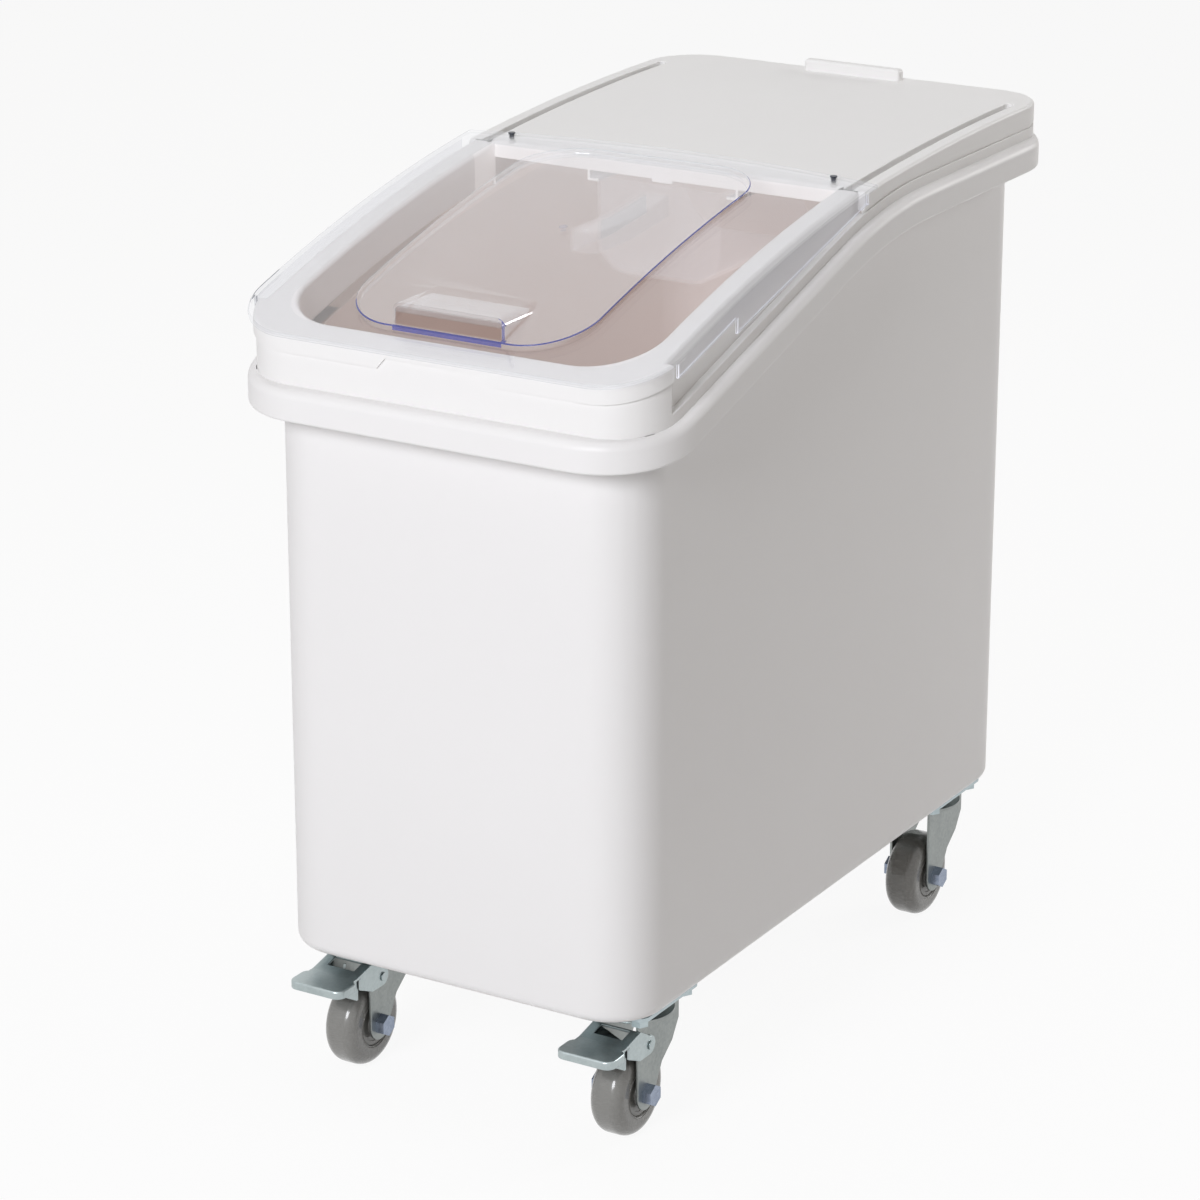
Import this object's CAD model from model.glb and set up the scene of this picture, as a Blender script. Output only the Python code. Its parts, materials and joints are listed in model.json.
import json
import math

import bmesh
import bpy
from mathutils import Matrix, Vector

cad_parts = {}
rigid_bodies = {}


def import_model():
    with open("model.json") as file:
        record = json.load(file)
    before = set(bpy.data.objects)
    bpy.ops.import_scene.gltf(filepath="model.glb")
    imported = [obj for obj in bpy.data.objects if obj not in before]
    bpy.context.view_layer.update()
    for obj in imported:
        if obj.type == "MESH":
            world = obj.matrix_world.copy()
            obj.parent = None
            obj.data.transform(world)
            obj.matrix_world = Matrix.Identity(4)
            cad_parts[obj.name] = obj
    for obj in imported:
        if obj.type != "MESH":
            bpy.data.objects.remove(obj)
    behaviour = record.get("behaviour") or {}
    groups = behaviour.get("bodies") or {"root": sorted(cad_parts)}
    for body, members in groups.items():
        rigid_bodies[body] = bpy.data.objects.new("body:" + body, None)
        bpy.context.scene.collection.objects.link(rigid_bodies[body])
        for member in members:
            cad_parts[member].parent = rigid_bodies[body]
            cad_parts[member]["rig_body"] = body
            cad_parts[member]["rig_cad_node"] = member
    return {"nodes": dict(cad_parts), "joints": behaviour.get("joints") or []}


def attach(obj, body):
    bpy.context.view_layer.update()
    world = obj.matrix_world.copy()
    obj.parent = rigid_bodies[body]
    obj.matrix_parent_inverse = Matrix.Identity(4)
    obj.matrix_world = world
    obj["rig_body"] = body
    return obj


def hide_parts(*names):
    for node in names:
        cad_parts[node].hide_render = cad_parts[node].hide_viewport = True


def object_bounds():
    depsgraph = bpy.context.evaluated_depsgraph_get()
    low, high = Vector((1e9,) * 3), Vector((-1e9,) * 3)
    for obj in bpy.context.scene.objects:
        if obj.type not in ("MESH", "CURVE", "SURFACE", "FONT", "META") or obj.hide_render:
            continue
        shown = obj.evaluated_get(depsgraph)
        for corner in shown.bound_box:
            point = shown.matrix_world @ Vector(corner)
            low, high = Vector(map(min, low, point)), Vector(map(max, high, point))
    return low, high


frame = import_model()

cad_low, cad_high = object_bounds()


# Tub: one deep seamless moulding in white plastic, with a ledge and a turned-down skirt round
# its mouth. Its outside is satin from the mould; inside, light that has come through the walls
# makes the same plastic look warmer.

# How close counts as on a surface, and how far up a normal points on a face that counts as a top.
near = 0.0005
facing_up = 0.5
# Edges that turn by more than the first angle are rounded, and by more than the second creased.
rounded_from = math.radians(35)
creased_from = math.radians(32)
black = (0, 0, 0, 1)

# The rim's half sizes come from the frame, and the core is what the tub's corners turn about.
rim_half_x, rim_half_y = cad_high[0], cad_high[1]
rim_reach = 0.027
rim_corner = 0.072
rim_core_x, rim_core_y = rim_half_x - rim_corner, rim_half_y - rim_corner
below_rim = 0.56
tub_corner = 0.048
core_half_x = rim_half_x - rim_reach - tub_corner
core_half_y = rim_half_y - rim_reach - tub_corner
mid_wall = 0.0458
mid_floor = 0.1215
ledge_reach = 0.0595
ledge_arc = 1.6835
rim_top_round, rim_foot_round, tub_edge_round = 0.007, 0.0025, 0.0014
inside_light, ledge_light = 0.27, 0.5

# The cover's top and the lid are arcs about the axis that the lid slides about.
joint_place = {joint["name"]: joint.get("pos_m") for joint in frame["joints"]}
arc_y, arc_z = joint_place["lid_slide"][1:]
arc_radius = 1.730


class Wire:
    """An output of a node. Arithmetic on it adds Math nodes."""

    def __init__(self, tree, socket=None):
        self.tree, self.socket = tree, socket

    def node(self, kind, settings=None, values=None, out=0):
        made = self.tree.nodes.new("ShaderNode" + kind)
        for name, value in (settings or {}).items():
            setattr(made, name, value)
        for name, value in (values or {}).items():
            if isinstance(value, Wire):
                self.tree.links.new(value.socket, made.inputs[name])
            else:
                made.inputs[name].default_value = value
        return Wire(self.tree, made.outputs[out] if made.outputs else None)

    def math(self, operation, first, second=0.0):
        return self.node("Math", {"operation": operation}, {0: first, 1: second})

    def __add__(self, other):
        return self.math("ADD", self, other)

    def __sub__(self, other):
        return self.math("SUBTRACT", self, other)

    def __rsub__(self, other):
        return self.math("SUBTRACT", other, self)

    def __mul__(self, other):
        return self.math("MULTIPLY", self, other)

    def __gt__(self, other):
        return self.math("GREATER_THAN", self, other)

    def __lt__(self, other):
        return self.math("LESS_THAN", self, other)

    __radd__ = __add__
    __rmul__ = __mul__


def new_finish(name):
    """A new empty material and the start of its wiring."""
    material = bpy.data.materials.new(name)
    material.use_nodes = True
    material.node_tree.nodes.clear()
    return material, Wire(material.node_tree)


def finished(material, shader):
    """The material with the shader wired to its output."""
    shader.node("OutputMaterial", values={"Surface": shader})
    return material


def place(wire):
    return wire.node("TexCoord", out="Object")


def axes(wire):
    """The place on the piece as three separate wires."""
    spot = place(wire)
    return [wire.node("SeparateXYZ", values={0: spot}, out=axis) for axis in "XYZ"]


def arc_distance(wire, y, z):
    """How far a place is from the axis that the lid slides about."""
    along, up = y - arc_y, z - arc_z
    return wire.math("SQRT", along * along + up * up)


def mottle(wire, scale, detail=2.0, stretch=None):
    """Soft noise in the piece's own coordinates, from 0 to 1."""
    where = place(wire)
    if stretch:
        where = wire.node("Mapping", values={"Vector": where, "Scale": stretch})
    return wire.node("TexNoise", values={"Vector": where, "Scale": scale, "Detail": detail})


def blend(wire, share, first, second):
    return wire.node("Mix", {"data_type": "RGBA"}, {0: share, 6: first, 7: second}, out=2)


def bump(wire, height, strength, distance, **under):
    values = {"Height": height, "Strength": strength, "Distance": distance, **under}
    return wire.node("Bump", values=values)


def surface(wire, **sockets):
    """A principled shader, with a value or a wire for each socket named."""
    values = {name.replace("_", " "): value for name, value in sockets.items()}
    return wire.node("BsdfPrincipled", values=values)


def dress(piece, *materials):
    piece.data.materials.clear()
    for material in materials:
        piece.data.materials.append(material)


def moulded_white(name, pale, deep, inside, glow, lit_share):
    """Satin white plastic: faint clouding, a fine mould grain and the slow waves of a big wall.

    Where lit_share is over 0 it takes the inside's colour, and glows by the light let through."""
    material, wire = new_finish(name)
    waves = mottle(wire, scale=5.0, detail=1.0)
    grain = mottle(wire, scale=1500.0, detail=1.0)
    x, y, z = axes(wire)
    away_x = wire.math("MAXIMUM", wire.math("ABSOLUTE", x) - core_half_x, 0.0)
    away_y = wire.math("MAXIMUM", wire.math("ABSOLUTE", y) - core_half_y, 0.0)
    from_core = wire.math("SQRT", away_x * away_x + away_y * away_y)
    lit = lit_share(wire, from_core, y, z)
    colour = blend(wire, lit > 0.0, blend(wire, waves, deep, pale), inside)
    light = blend(wire, lit, black, glow)
    lumps = bump(wire, waves, strength=0.12, distance=0.004)
    skin = bump(wire, grain, strength=0.06, distance=0.0002, Normal=lumps)
    satin = 0.36 + mottle(wire, scale=40.0) * 0.14
    return finished(material, surface(
        wire, Base_Color=colour, Roughness=satin, Normal=skin, Specular_IOR_Level=0.4,
        Emission_Color=light, Emission_Strength=1.0))


def merged_copy(node, name):
    """A copy of a CAD solid as one joined mesh with flat faces made whole."""
    bpy.ops.object.select_all(action="DESELECT")
    source = frame["nodes"][node]
    source.select_set(True)
    bpy.context.view_layer.objects.active = source
    bpy.ops.object.duplicate()
    piece = bpy.context.active_object
    bpy.ops.object.parent_clear(type="CLEAR_KEEP_TRANSFORM")
    body = piece["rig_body"]
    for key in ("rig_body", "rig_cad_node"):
        del piece[key]
    piece.name = piece.data.name = name
    bpy.ops.object.mode_set(mode="EDIT")
    bpy.ops.mesh.select_all(action="SELECT")
    bpy.ops.mesh.remove_doubles(threshold=1e-6)
    bpy.ops.mesh.dissolve_limited(angle_limit=math.radians(0.05))
    bpy.ops.object.mode_set(mode="OBJECT")
    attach(piece, body)
    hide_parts(node)
    return piece


def round_edges(piece, radius_at, widest, segments=3, edge_slot=-1):
    """Rounds each outer edge by the radius that radius_at gives for its middle and face normals.

    The edges that are still sharp are then creased, so that flat faces are shaded flat."""
    mesh = piece.data
    bpy.ops.object.mode_set(mode="EDIT")
    shape = bmesh.from_edit_mesh(mesh)
    weight = shape.edges.layers.float.new("bevel_weight_edge")
    for edge in shape.edges:
        if len(edge.link_faces) == 2 and edge.calc_face_angle_signed(0.0) > rounded_from:
            middle = (edge.verts[0].co + edge.verts[1].co) / 2
            edge[weight] = radius_at(middle, *(face.normal for face in edge.link_faces)) / widest
    bmesh.update_edit_mesh(mesh)
    bpy.ops.object.mode_set(mode="OBJECT")
    edges = piece.modifiers.new("rounded_edges", "BEVEL")
    edges.limit_method = "WEIGHT"
    edges.width = widest
    edges.segments = segments
    edges.material = edge_slot
    edges.use_clamp_overlap = False
    edges.loop_slide = False
    bpy.ops.object.modifier_apply(modifier=edges.name)
    shape = bmesh.new()
    shape.from_mesh(mesh)
    for face in shape.faces:
        face.smooth = True
    for edge in shape.edges:
        edge.smooth = edge.calc_face_angle(math.pi) < creased_from
    shape.to_mesh(mesh)
    shape.free()
    flats = piece.modifiers.new("flat_faces", "WEIGHTED_NORMAL")
    flats.weight = 100
    flats.keep_sharp = True
    bpy.ops.object.modifier_apply(modifier=flats.name)


def past_corner(x, y):
    """How far a place is outside a corner, from how far it is past it along x and along y."""
    return math.hypot(max(x, 0), max(y, 0))


def tub_radius(middle, first, second):
    from_rim_core = past_corner(abs(middle.x) - rim_core_x, abs(middle.y) - rim_core_y)
    if middle.z < below_rim:
        return 0.0
    if from_rim_core < rim_corner - near:
        return tub_edge_round
    return rim_top_round if max(first.z, second.z) > facing_up else rim_foot_round


def tub_lit(wire, from_core, y, z):
    """The tub's inside, and its ledge where the cover hides it from outside."""
    ledge = (arc_distance(wire, y, z) > ledge_arc) * (from_core < ledge_reach)
    inside = (from_core < mid_wall) * (z > mid_floor)
    return wire.math("MAXIMUM", inside * inside_light, ledge * ledge_light)


tub_white = moulded_white(
    "tub_white", pale=(0.86, 0.852, 0.85, 1), deep=(0.84, 0.83, 0.828, 1),
    inside=(0.78, 0.70, 0.67, 1), glow=(0.30, 0.235, 0.205, 1), lit_share=tub_lit)
tub = merged_copy("tub", "flour_tub")
round_edges(tub, tub_radius, widest=rim_top_round, segments=4)
dress(tub, tub_white)


# Caster plates, bolts and nuts: pressed and zinc-plated steel under the tub's floor, with
# four bolts through each plate and the floor.

def zinc(name, pale, deep, rough, stretch=None):
    """Zinc plating: a cool metal with faint crystals and clouded gloss."""
    material, wire = new_finish(name)
    clouds = mottle(wire, scale=45.0, detail=3.0, stretch=stretch)
    crystals = wire.node("TexVoronoi", values={"Vector": place(wire), "Scale": 420.0}, out="Color")
    sparkle = wire.node("SeparateColor", values={0: crystals})
    share = clouds * 0.75 + sparkle * 0.25
    scratches = mottle(wire, scale=900.0, stretch=(1.0, 1.0, 0.06))
    dents = bump(wire, scratches, strength=0.1, distance=0.0002)
    return finished(material, surface(
        wire, Base_Color=blend(wire, share, deep, pale), Metallic=0.92,
        Roughness=rough + clouds * 0.18, Normal=dents))


plate_zinc = zinc("plate_zinc", pale=(0.55, 0.62, 0.64, 1), deep=(0.34, 0.41, 0.43, 1), rough=0.26)
casters = ("front_left", "front_right", "rear_left", "rear_right")
for caster in casters:
    dress(frame["nodes"][caster + "_plate"], plate_zinc)
for group in ("caster_bolts", "caster_nuts"):
    dress(frame["nodes"][group], plate_zinc)


# Swivel heads and axle sleeves: a pressed race, a ring of balls and a riveted kingpin carry
# each fork, and each wheel runs on a turned sleeve. All are bright steel.

turned_steel = zinc("turned_steel", pale=(0.62, 0.64, 0.66, 1), deep=(0.44, 0.46, 0.48, 1), rough=0.16)
for caster in casters:
    for part in ("race", "balls", "kingpin", "axle_sleeve"):
        dress(frame["nodes"][caster + "_" + part], turned_steel)


# Forks and axle bolts: each fork is folded from zinc-plated sheet, and a hexagon bolt with a
# lock nut clamps the axle sleeve between its legs.

fork_round = 0.0006


def even(radius):
    """The same radius for every edge."""
    return lambda middle, first, second: radius


bolt_zinc = zinc("bolt_zinc", pale=(0.38, 0.43, 0.53, 1), deep=(0.17, 0.21, 0.29, 1), rough=0.13)
fork_zinc = zinc("fork_zinc", pale=(0.37, 0.39, 0.38, 1), deep=(0.21, 0.23, 0.225, 1), rough=0.28,
                 stretch=(1.0, 1.0, 0.4))
for caster in casters:
    fork = merged_copy(caster + "_fork", caster + "_caster_fork")
    round_edges(fork, even(fork_round), widest=fork_round, segments=2)
    dress(fork, fork_zinc)
    for part in ("axle_bolt", "axle_nut"):
        dress(frame["nodes"][caster + "_" + part], bolt_zinc)


# Wheels: a grey nylon hub with a polyurethane tread cast on it. The tread is smooth and a
# little glossy, with faint scuffs.

hub_round = 0.0008


def grey_tread(name, pale, deep, rough):
    """Grey wheel plastic with a clouded tone and a scuffed gloss."""
    material, wire = new_finish(name)
    clouds = mottle(wire, scale=60.0, detail=3.0)
    scuffs = mottle(wire, scale=220.0, detail=4.0, stretch=(0.25, 1.0, 1.0))
    skin = bump(wire, scuffs, strength=0.08, distance=0.0004)
    return finished(material, surface(
        wire, Base_Color=blend(wire, clouds, deep, pale), Roughness=rough + scuffs * 0.14,
        Coat_Weight=0.5, Normal=skin))


tread_grey = grey_tread("tread_grey", pale=(0.245, 0.242, 0.228, 1), deep=(0.20, 0.197, 0.186, 1),
                        rough=0.2)
hub_grey = grey_tread("hub_grey", pale=(0.22, 0.218, 0.205, 1), deep=(0.17, 0.168, 0.158, 1),
                      rough=0.34)
for caster in casters:
    dress(frame["nodes"][caster + "_tyre"], tread_grey)
    hub = merged_copy(caster + "_hub", caster + "_wheel_hub")
    round_edges(hub, even(hub_round), widest=hub_round, segments=2)
    dress(hub, hub_grey)


# Brake pedals: pressed from the same plated sheet as the forks, with rolled edges on the foot,
# and pinned to the fork's legs by two rivets.

# Distances of the foot and cheeks are ahead of the kingpin, and heights are above the floor.
kingpin_y = joint_place["front_left_swivel"][1]
foot_rear, foot_under_rear, cheek_front = 0.0558, 0.0545, 0.0475
foot_top, foot_bottom = 0.093, 0.086
foot_round, foot_under_round, cheek_round = 0.0016, 0.0006, 0.0005
upright_below = 0.1


def pedal_radius(middle, first, second):
    ahead = kingpin_y - middle.y
    upright = abs(first.z) < upright_below and abs(second.z) < upright_below
    if ahead > foot_rear and middle.z > foot_top - near:
        return foot_round
    if ahead > foot_under_rear and middle.z < foot_bottom + near:
        return foot_under_round
    if ahead < cheek_front and not upright:
        return cheek_round
    return 0.0


pedal_zinc = zinc("pedal_zinc", pale=(0.52, 0.58, 0.585, 1), deep=(0.34, 0.395, 0.40, 1), rough=0.24)
for caster in casters[:2]:
    pedal = merged_copy(caster + "_brake_pedal", caster + "_pedal")
    round_edges(pedal, pedal_radius, widest=foot_round, segments=4)
    dress(pedal, pedal_zinc)
    dress(frame["nodes"][caster + "_brake_rivets"], pedal_zinc)


# Cover: one white moulding that seats on the tub's rim. Its side walls are stepped in under
# the lid's skirts, and its rear panel has a guide channel at each side.

# The cover is set in from the rim, and its rear panel rises on an arc of its own.
cover_side_set, cover_rear_set = 0.010, 0.008
cover_half_x = rim_half_x - cover_side_set
cover_rear = rim_half_y - cover_rear_set
cover_corner = 0.050
cover_core_x, cover_core_y = cover_half_x - cover_corner, cover_rear - cover_corner
panel_arc_y, panel_arc_z, panel_arc_radius = 0.285, -2.4618, 3.2
cover_panel_front = 0.001
on_arc = 0.0006
mouth_reach = 0.043
mid_skirt = 0.0408
bar_front, bar_rear = -0.032, 0.0005
skirt_light, bar_light = 0.3, 0.7
tab_half, tab_front, tab_low = 0.048, 0.33, 0.74
mouth_round, cover_rim_round, cover_edge_round = 0.0045, 0.003, 0.0009


def arc_level(spot):
    """How high a place is above the arc of the cover's top."""
    return math.hypot(spot.y - arc_y, spot.z - arc_z) - arc_radius


def cover_radius(middle, first, second):
    panel_level = math.hypot(middle.y - panel_arc_y, middle.z - panel_arc_z) - panel_arc_radius
    from_cover_core = past_corner(abs(middle.x) - cover_core_x, middle.y - cover_core_y)
    from_core = past_corner(abs(middle.x) - core_half_x, -core_half_y - middle.y)
    ahead = middle.y < cover_panel_front
    if min(first.z, second.z) < -facing_up and from_core > mouth_reach:
        return 0.0
    if ahead and abs(arc_level(middle)) < on_arc and max(first.z, second.z) > facing_up:
        return mouth_round if from_core < mouth_reach else cover_rim_round
    if not ahead and abs(panel_level) < on_arc and from_cover_core > cover_corner - near:
        return cover_rim_round
    if abs(middle.x) < tab_half and middle.y > tab_front and middle.z > tab_low:
        return cover_rim_round
    return cover_edge_round


def cover_lit(wire, from_core, y, z):
    """The skirt that hangs into the tub round the mouth, and most of all the bar behind the mouth."""
    return (from_core < mid_skirt) * (y < bar_rear) * (skirt_light + (y > bar_front) * bar_light)


cover_white = moulded_white(
    "cover_white", pale=(0.875, 0.868, 0.862, 1), deep=(0.855, 0.848, 0.842, 1),
    inside=(0.87, 0.855, 0.85, 1), glow=(0.20, 0.192, 0.188, 1), lit_share=cover_lit)
cover = merged_copy("top_cover", "bin_cover")
round_edges(cover, cover_radius, widest=mouth_round, segments=4)
dress(cover, cover_white)


# Scoop: a bowl and a channel-shaped handle, moulded in one piece from clear plastic that has
# a slight haze. Its flanges rest on the cover's rails.

scoop_round = 0.0007
edge_blue = (0.075, 0.095, 0.37, 1)


def clear_plastic(name, tint, haze, body, rough=0.05, sheen=1.3, glow=black, mirror=0.0, stain=None):
    """Clear sheet: see-through, with a veil that grows where it is seen at a slant.

    Mirror is how far the veil reflects rather than scatters. Stain gives the shares, if any,
    of blue and of places without a veil."""
    material, wire = new_finish(name)
    through = wire.node("BsdfTransparent", values={"Color": tint})
    ripple = mottle(wire, scale=9.0, detail=1.0)
    skin = bump(wire, ripple, strength=0.08, distance=0.004)
    facing = wire.node("LayerWeight", values={"Blend": 0.5}, out="Facing")
    share = wire.math("POWER", facing, 5.0) * sheen + (haze + ripple * 0.02)
    if stain:
        spot, bare = stain(wire)
        body = blend(wire, spot, body, edge_blue)
        share = share * (1.0 - bare) + spot * 0.55
        mirror = (1.0 - spot) * mirror
    gloss = surface(wire, Base_Color=body, Roughness=rough, Metallic=mirror, Normal=skin,
                    Emission_Color=glow, Emission_Strength=1.0)
    veil = wire.math("MINIMUM", share, 1.0)
    return finished(material, wire.node("MixShader", values={0: veil, 1: through, 2: gloss}))


scoop_clear = clear_plastic("scoop_clear", tint=(0.985, 0.983, 0.988, 1), haze=0.08, sheen=0.3,
                            body=(0.88, 0.86, 0.87, 1), glow=(0.34, 0.315, 0.315, 1))
scoop_edge = clear_plastic("scoop_edge", tint=(0.95, 0.955, 0.97, 1), haze=0.42, sheen=0.5,
                           body=(0.90, 0.90, 0.95, 1), glow=(0.50, 0.50, 0.56, 1))
scoop = merged_copy("scoop", "flour_scoop")
round_edges(scoop, even(scoop_round), widest=scoop_round, segments=2, edge_slot=1)
dress(scoop, scoop_clear, scoop_edge)


# Lid: clear polycarbonate, arched to run on the cover's top. Light that runs along inside
# the sheet leaves it at the edges of the raised panel and of the pull, which look blue.

# Limits in x and y are from the bin's middle, and levels are above the arc of the cover's top.
lid_reach = 0.006
lid_half_x = cover_half_x + lid_reach
lid_front_zone = -0.29
sheet_top = 0.0034
lid_rim_round, lid_edge_round, pull_round = 0.0016, 0.0008, 0.0004
panel_half, panel_front, panel_rear = 0.107, -0.326, -0.005
panel_height = 0.004
panel_top = sheet_top + panel_height
panel_edge_low, panel_low = 0.0062, 0.0036
panel_right, panel_left, panel_front_zone = 0.09, -0.1, -0.27
pull_half, pull_rear, pull_edges = 0.048, -0.26, 0.053
pull_faces, pull_corner, pull_corner_rear = 0.0515, 0.045, -0.3195
hood_level = panel_top + pull_round
hood_front, hood_shade_rear, hood_skew = -0.3232, -0.303, 0.65
sill_half, sill_front, sill_rear, sill_low = 0.0492, -0.3275, -0.3248, 0.0038
side_inner, side_outer, side_rear, side_low = 0.0478, 0.052, -0.3222, 0.0072
gate_spot, gate_round, gate_share = (0, -0.155, 0.7064), 0.0035, 0.35
skirt_inner, skirt_top, skirt_edge = 0.188, -0.002, 0.19
skirt_dark_rear = -0.262
step_y, step_half, step_level = -0.2105, 0.0035, -0.014
# The lid's material slots.
CLEAR, PALE, BLUE, GREY, SKIRT, BRIGHT, DARK, PANE = range(8)


def lid_stain(wire):
    """The shares of blue and of no veil, in that order.

    Blue is at the spot where the mould was filled, along the pull's sill and down its right
    front edge. The sheet has no veil below the pull's hood."""
    ends = {0: place(wire), 1: gate_spot}
    gate = wire.node("VectorMath", {"operation": "DISTANCE"}, ends, out="Value")
    x, y, z = axes(wire)
    level = arc_distance(wire, y, z) - arc_radius
    across = wire.math("ABSOLUTE", x)
    sill = (across < sill_half) * (y < sill_rear) * (y > sill_front) * (level > sill_low)
    side = (x > side_inner) * (x < side_outer) * (y < side_rear) * (level > side_low)
    faint = (gate < gate_round) * gate_share
    beside = wire.math("ABSOLUTE", x + (y - hood_front) * hood_skew)
    under_hood = (beside < pull_half) * (y > hood_front) * (y < hood_shade_rear) * (level < hood_level)
    return wire.math("MAXIMUM", wire.math("MAXIMUM", sill, side), faint), under_hood


def lid_sheet(name, haze):
    """The lid's clear faces, which reflect the white surround."""
    return clear_plastic(name, tint=(0.985, 0.985, 0.99, 1), haze=haze, body=(0.93, 0.935, 0.95, 1),
                         sheen=0.95, mirror=1.0, stain=lid_stain)


def lid_radius(middle, first, second):
    level = arc_level(middle)
    outer = abs(middle.x) > lid_half_x - near or middle.y < lid_front_zone
    if outer and abs(level - sheet_top) < near:
        return lid_rim_round
    if abs(middle.x) < pull_edges and middle.y < pull_rear and level > hood_level:
        return pull_round
    return lid_edge_round


def lid_look(spot, look):
    """The material of a face, from its middle and from its first material: sheet or rounded edge."""
    level = arc_level(spot)
    edge = look == PALE
    at_pull = abs(spot.x) < pull_faces and spot.y < pull_rear and level > hood_level
    on_panel = abs(spot.x) < panel_half + lid_edge_round \
        and panel_front - lid_edge_round < spot.y < panel_rear + lid_edge_round
    if level < skirt_top and abs(spot.x) > skirt_inner:
        if edge and spot.x > 0:
            return BLUE if abs(spot.y - step_y) < step_half and level < step_level else BRIGHT
        return DARK if edge and spot.y < skirt_dark_rear else SKIRT
    if edge and spot.x < -skirt_edge and spot.y < skirt_dark_rear:
        return DARK
    if at_pull:
        if edge and spot.y < pull_corner_rear and abs(spot.x) > pull_corner:
            return BLUE if spot.x > 0 else GREY
        return look
    if edge and on_panel and level > panel_edge_low:
        lit = spot.x > panel_right or spot.y < panel_front_zone and spot.x > panel_left
        return BLUE if lit else GREY
    if not edge and on_panel and level > panel_low:
        return PANE
    return look


lid_clear = lid_sheet("lid_clear", haze=0.07)
lid_pane = lid_sheet("lid_pane", haze=0.175)
lid_blue = clear_plastic("lid_blue", tint=(0.34, 0.38, 0.74, 1), haze=0.62, body=edge_blue, rough=0.1)
lid_grey = clear_plastic("lid_grey", tint=(0.86, 0.88, 0.92, 1), haze=0.10, body=(0.66, 0.69, 0.80, 1),
                         rough=0.1)
lid_pale = clear_plastic("lid_pale", tint=(0.96, 0.965, 0.972, 1), haze=0.06, body=(0.87, 0.88, 0.91, 1))
lid_skirt = clear_plastic("lid_skirt", tint=(0.97, 0.97, 0.98, 1), haze=0.06, body=(0.84, 0.85, 0.92, 1),
                          rough=0.1)
lid_bright = clear_plastic("lid_bright", tint=(0.92, 0.925, 0.95, 1), haze=0.7, rough=0.1,
                           body=(0.90, 0.91, 0.96, 1), glow=(0.2, 0.205, 0.23, 1))
lid_dark = clear_plastic("lid_dark", tint=(0.50, 0.52, 0.57, 1), haze=0.45, body=(0.07, 0.08, 0.11, 1),
                         rough=0.1)
lid = merged_copy("sliding_lid", "clear_lid")
dress(lid, lid_clear, lid_pale, lid_blue, lid_grey, lid_skirt, lid_bright, lid_dark, lid_pane)
round_edges(lid, lid_radius, widest=lid_rim_round, segments=3, edge_slot=PALE)
for face in lid.data.polygons:
    face.material_index = lid_look(face.center, face.material_index)


# Stop pins: two short dark pins pressed through the lid near its rear edge, where they show
# as two dots.

pin_dark, wire = new_finish("pin_dark")
pin_tone = blend(wire, mottle(wire, scale=300.0), (0.02, 0.023, 0.035, 1), (0.04, 0.045, 0.06, 1))
finished(pin_dark, surface(wire, Base_Color=pin_tone, Roughness=0.35))
dress(frame["nodes"]["lid_stop_pins"], pin_dark)


# Studio: a wide pale floor, an even white surround, a soft lamp ahead of the bin, one above it
# and a faint one at its right rear.

# The lamps aim at the bin's middle. The camera's place and angles are those fitted to the photo.
lamp_aim = Vector((0, 0, 0.4))
photo_spot = (1.64695, -2.85587, 1.50457)
photo_tilt, photo_turn = math.radians(70.67), math.radians(30.85)


def seen_share(wire):
    """1 for light on its way to the camera, also by way of a mirror or a clear sheet, and else 0."""
    ways = [wire.node("LightPath", out=f"Is {way} Ray") for way in ("Camera", "Glossy", "Transmission")]
    return wire.math("MINIMUM", ways[0] + ways[1] + ways[2], 1.0)


pale_floor, wire = new_finish("pale_floor")
diffuse = wire.node("BsdfDiffuse", values={"Color": (0.86, 0.86, 0.86, 1)})
glow = wire.node("Emission", values={"Color": (1, 1, 1, 1), "Strength": 1.0})
finished(pale_floor, wire.node("MixShader", values={0: seen_share(wire) * 0.92, 1: diffuse, 2: glow}))
bpy.ops.mesh.primitive_plane_add(size=60.0, location=(0, 0, 0))
floor = bpy.context.active_object
floor.name = "studio_floor"
dress(floor, pale_floor)

world = bpy.data.worlds.new("studio_surround")
bpy.context.scene.world = world
world.use_nodes = True
world.node_tree.nodes.clear()
wire = Wire(world.node_tree)
plain = wire.node("Background", values={"Color": (1, 1, 1, 1), "Strength": 1.0})
soft = wire.node("Background", values={"Color": (1.0, 0.88, 0.77, 1), "Strength": 0.175})
both = wire.node("MixShader", values={0: seen_share(wire), 1: soft, 2: plain})
wire.node("OutputWorld", values={"Surface": both})

for name, size, power, tone, spot in (
        ("key_lamp", 1.8, 121.0, (0.945, 0.96, 1.0), (0.2, -4.0, 2.3)),
        ("top_lamp", 2.4, 33.0, (0.945, 0.972, 1.0), (-0.4, 0.2, 3.6)),
        ("rear_lamp", 0.8, 14.0, (1.0, 1.0, 1.0), (1.2, 2.0, 1.2))):
    lamp = bpy.data.lights.new(name, "AREA")
    lamp.shape = "DISK"
    lamp.size = size
    lamp.energy = power
    lamp.color = tone
    bulb = bpy.data.objects.new(name, lamp)
    bpy.context.scene.collection.objects.link(bulb)
    bulb.location = spot
    bulb.rotation_euler = (lamp_aim - bulb.location).to_track_quat("-Z", "Y").to_euler()

camera = bpy.data.cameras.new("photo_camera")
camera.lens = 123.675
camera.sensor_width = 36.0
view = bpy.data.objects.new("photo_camera", camera)
bpy.context.scene.collection.objects.link(view)
view.location = photo_spot
view.rotation_euler = (photo_tilt, 0, photo_turn)
bpy.context.scene.camera = view
bpy.context.scene.view_settings.view_transform = "Standard"
